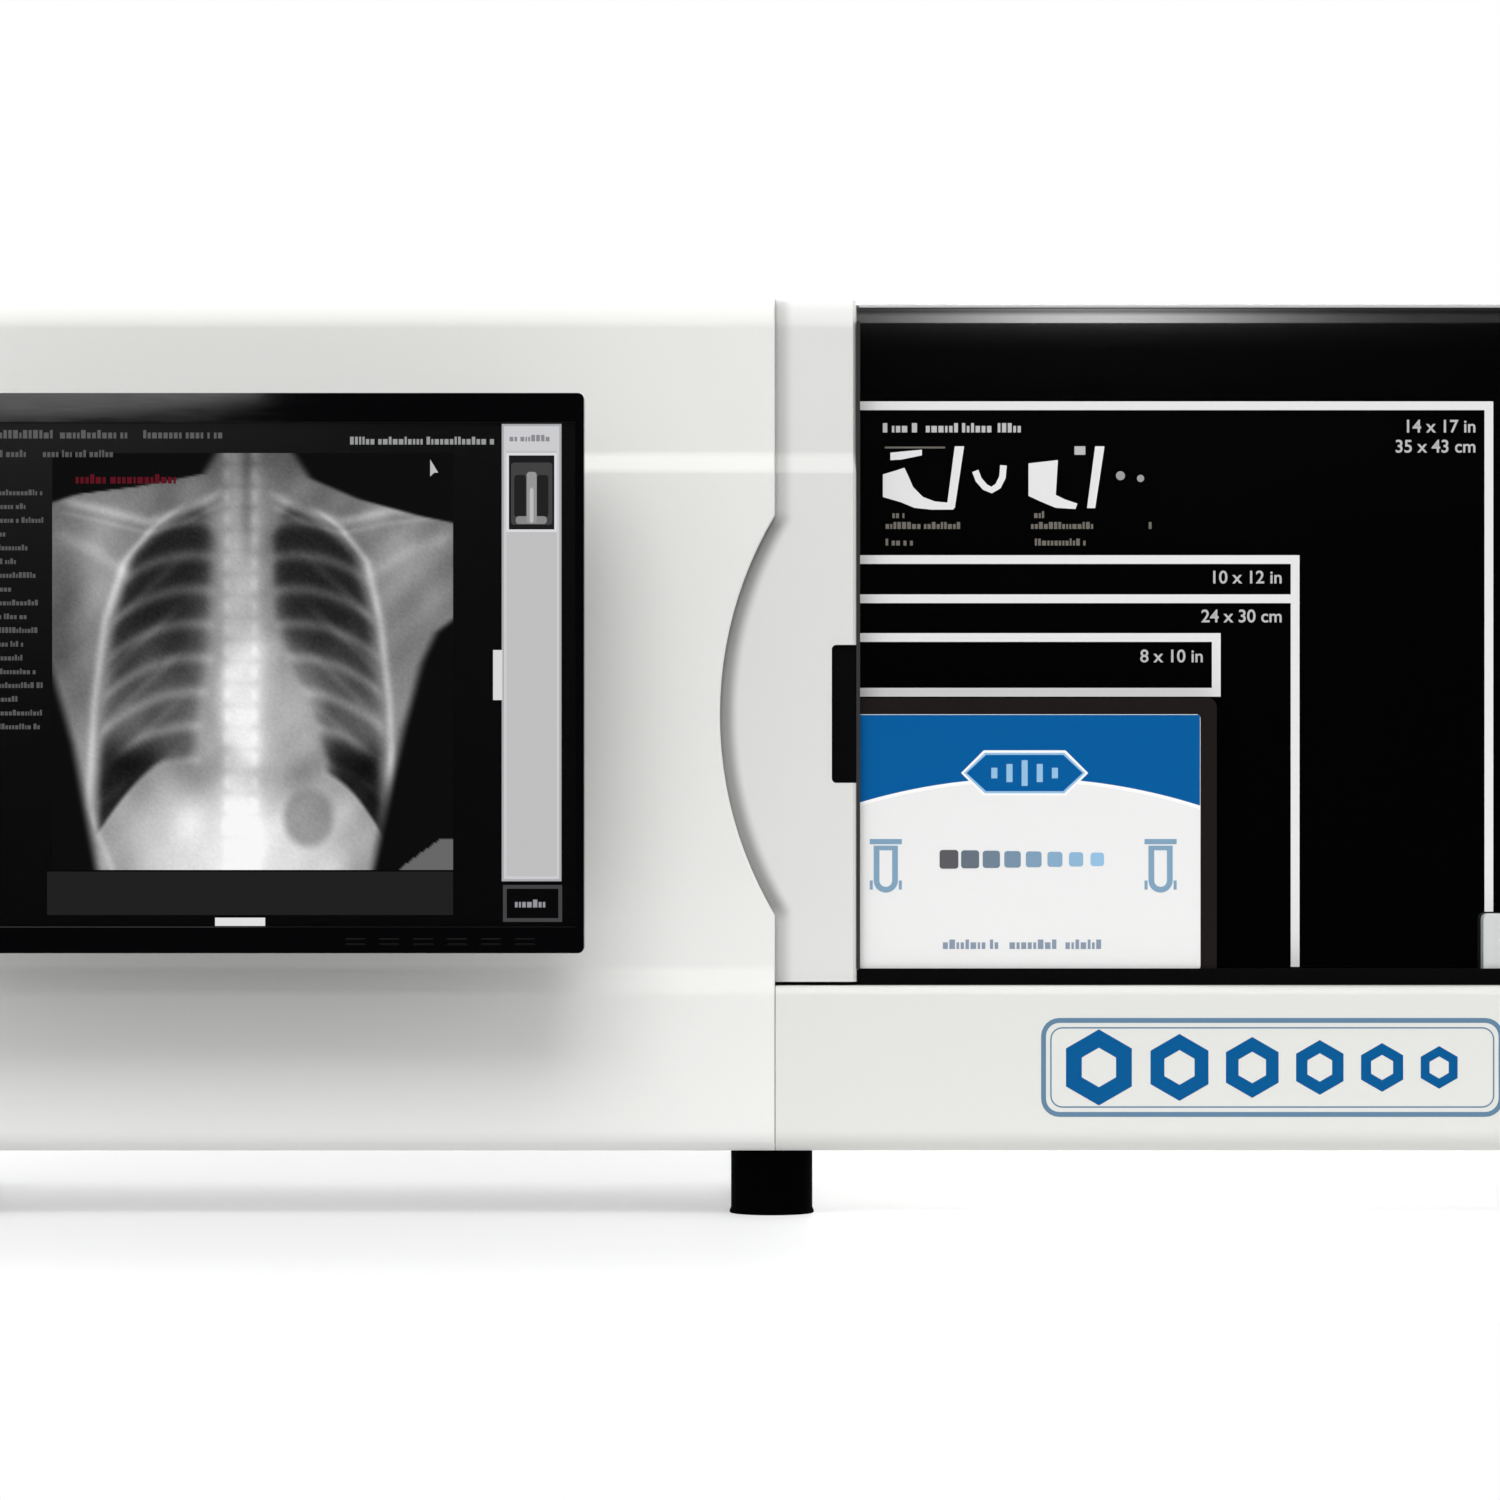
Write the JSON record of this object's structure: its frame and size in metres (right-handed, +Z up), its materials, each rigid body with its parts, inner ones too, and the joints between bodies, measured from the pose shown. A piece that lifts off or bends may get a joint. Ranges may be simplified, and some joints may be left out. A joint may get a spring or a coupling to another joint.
{
  "type": "phosphor plate scanner",
  "caption": "Wide plate scanner: deep cabinet with a tilting monitor on its face, and a shallow wing whose rail guides a cassette into a side slot where its plate is drawn in and read.",
  "frame": {"origin": "on the floor, under the middle of the machine's overall box", "axes": "+X to the right along the machine as its user faces it, +Y to its back, +Z up"},
  "size_m": [1.22, 0.415, 0.61],
  "materials": {
    "white_cover": "satin white moulded plastic with a fine texture",
    "black_panel": "gloss black paint with printed white size outlines",
    "black_plastic": "satin black moulded plastic",
    "gloss_bezel": "piano black",
    "screen_glass": "semi-gloss display panel, lit",
    "grey_plastic": "satin pale grey moulded plastic",
    "foot_rubber": "matt black rubber",
    "zinc_steel": "zinc-plated sheet",
    "mount_steel": "ground steel",
    "bare_aluminium": "milled",
    "label_white": "printed white film with a blue band",
    "phosphor_white": "matt phosphor layer",
    "belt_rubber": "moulded rubber",
    "mirror_coat": "front-coated mirror",
    "clear_acrylic": "polished clear acrylic",
    "lamp_glass": "white coated glass tube",
    "board_green": "solder-masked board"
  },
  "bodies": {
    "root": {"front_cover": "white_cover", "slot_cover": "white_cover", "rear_cover": "white_cover", "base_tray": "zinc_steel", "left_end_cap": "white_cover", "right_side_panel": "white_cover", "lower_cover": "white_cover", "cassette_panel": "black_panel", "wing_rear_cover": "white_cover", "right_end_cap": "white_cover", "wing_frame": "zinc_steel", "cassette_rail": "black_plastic", "end_stop": "grey_plastic", "foot_front_left": "foot_rubber", "foot_rear_left": "foot_rubber", "foot_front_middle": "foot_rubber", "foot_rear_middle": "foot_rubber", "chassis_plate": "zinc_steel", "platen": "bare_aluminium", "monitor_wall_bracket": "mount_steel", "monitor_pivot_pin": "mount_steel", "linear_rail": "mount_steel", "timing_belt": "belt_rubber", "transport_motor": "black_plastic", "optics_plate": "bare_aluminium", "laser_module": "bare_aluminium", "polygon_motor": "mount_steel", "scan_lens": "clear_acrylic", "fold_mirror": "mirror_coat", "light_guide": "clear_acrylic", "photomultiplier": "black_plastic", "lamp_housing": "bare_aluminium", "lamp_tube_1": "lamp_glass", "lamp_tube_2": "lamp_glass", "power_supply": "zinc_steel", "control_board": "board_green", "fan_frame": "black_plastic", "inlet_panel": "zinc_steel", "mains_inlet": "black_plastic"},
    "monitor": {"monitor_tilt_head": "mount_steel", "monitor_rear_shell": "black_plastic", "monitor_screen": "screen_glass", "monitor_bezel": "gloss_bezel"},
    "key_1": {"monitor_key_1": "gloss_bezel"},
    "key_2": {"monitor_key_2": "gloss_bezel"},
    "key_3": {"monitor_key_3": "gloss_bezel"},
    "key_4": {"monitor_key_4": "gloss_bezel"},
    "key_5": {"monitor_key_5": "gloss_bezel"},
    "key_6": {"monitor_key_6": "gloss_bezel"},
    "cassette": {"cassette_shell": "black_plastic", "cassette_front_panel": "label_white"},
    "plate": {"imaging_plate": "phosphor_white"},
    "carriage": {"plate_carriage": "bare_aluminium"},
    "drive_pulley": {"drive_pulley": "bare_aluminium"},
    "idler_pulley": {"idler_pulley": "bare_aluminium"},
    "feed_roller": {"feed_roller": "belt_rubber"},
    "pinch_roller": {"pinch_roller": "belt_rubber"},
    "polygon": {"polygon_mirror": "mirror_coat"},
    "fan": {"fan_impeller": "black_plastic"},
    "rocker": {"power_rocker": "black_plastic"}
  },
  "joints": [
    {"name": "monitor_tilt", "type": "hinge", "parent": "root", "child": "monitor", "pos_m": [-0.344, -0.1405, 0.3566], "axis": [1, 0, 0], "range_deg": [-15, 5]},
    {"name": "key_1_press", "type": "slide", "parent": "monitor", "child": "key_1", "axis": [0, 1, 0], "range_m": [0, 0.0008], "stiffness_N_per_m": 400, "springref_m": -0.001},
    {"name": "key_2_press", "type": "slide", "parent": "monitor", "child": "key_2", "axis": [0, 1, 0], "range_m": [0, 0.0008], "stiffness_N_per_m": 400, "springref_m": -0.001},
    {"name": "key_3_press", "type": "slide", "parent": "monitor", "child": "key_3", "axis": [0, 1, 0], "range_m": [0, 0.0008], "stiffness_N_per_m": 400, "springref_m": -0.001},
    {"name": "key_4_press", "type": "slide", "parent": "monitor", "child": "key_4", "axis": [0, 1, 0], "range_m": [0, 0.0008], "stiffness_N_per_m": 400, "springref_m": -0.001},
    {"name": "key_5_press", "type": "slide", "parent": "monitor", "child": "key_5", "axis": [0, 1, 0], "range_m": [0, 0.0008], "stiffness_N_per_m": 400, "springref_m": -0.001},
    {"name": "key_6_press", "type": "slide", "parent": "monitor", "child": "key_6", "axis": [0, 1, 0], "range_m": [0, 0.0008], "stiffness_N_per_m": 400, "springref_m": -0.001},
    {"name": "cassette_slide", "type": "slide", "parent": "root", "child": "cassette", "axis": [1, 0, 0], "range_m": [0, 0.17]},
    {"name": "plate_draw", "type": "slide", "parent": "cassette", "child": "plate", "axis": [-1, 0, 0], "range_m": [0, 0.5]},
    {"name": "carriage_travel", "type": "slide", "parent": "root", "child": "carriage", "axis": [-1, 0, 0], "range_m": [0, 0.5]},
    {"name": "drive_pulley_spin", "type": "hinge", "parent": "root", "child": "drive_pulley", "pos_m": [-0.568, -0.086, 0.084], "axis": [0, -1, 0], "range_deg": [0, 2230]},
    {"name": "idler_pulley_spin", "type": "hinge", "parent": "root", "child": "idler_pulley", "pos_m": [-0.025, -0.086, 0.084], "axis": [0, -1, 0], "range_deg": [0, 2230]},
    {"name": "feed_roller_spin", "type": "hinge", "parent": "root", "child": "feed_roller", "pos_m": [-0.01, -0.08245, 0.35], "axis": [0, 0, -1], "range_deg": [0, 4800]},
    {"name": "pinch_roller_spin", "type": "hinge", "parent": "root", "child": "pinch_roller", "pos_m": [-0.01, -0.09435, 0.35], "axis": [0, 0, 1], "range_deg": [0, 7550]},
    {"name": "polygon_spin", "type": "hinge", "parent": "root", "child": "polygon", "pos_m": [-0.44, 0.045, 0.35], "axis": [0, 1, 0], "continuous": true},
    {"name": "fan_spin", "type": "hinge", "parent": "root", "child": "fan", "pos_m": [-0.11, 0.1923, 0.12], "axis": [0, 1, 0], "continuous": true},
    {"name": "power_rocker_tilt", "type": "hinge", "parent": "root", "child": "rocker", "pos_m": [-0.505, 0.2007, 0.094], "axis": [1, 0, 0], "range_deg": [0, 16]}
  ],
  "couplings": [
    {"joint": "plate_draw", "follows": "carriage_travel", "ratio": 1},
    {"joint": "drive_pulley_spin", "follows": "carriage_travel", "rad_per_m": 77.519},
    {"joint": "idler_pulley_spin", "follows": "carriage_travel", "rad_per_m": 77.519},
    {"joint": "feed_roller_spin", "follows": "carriage_travel", "rad_per_m": 166.67},
    {"joint": "pinch_roller_spin", "follows": "carriage_travel", "rad_per_m": 263.16}
  ]
}
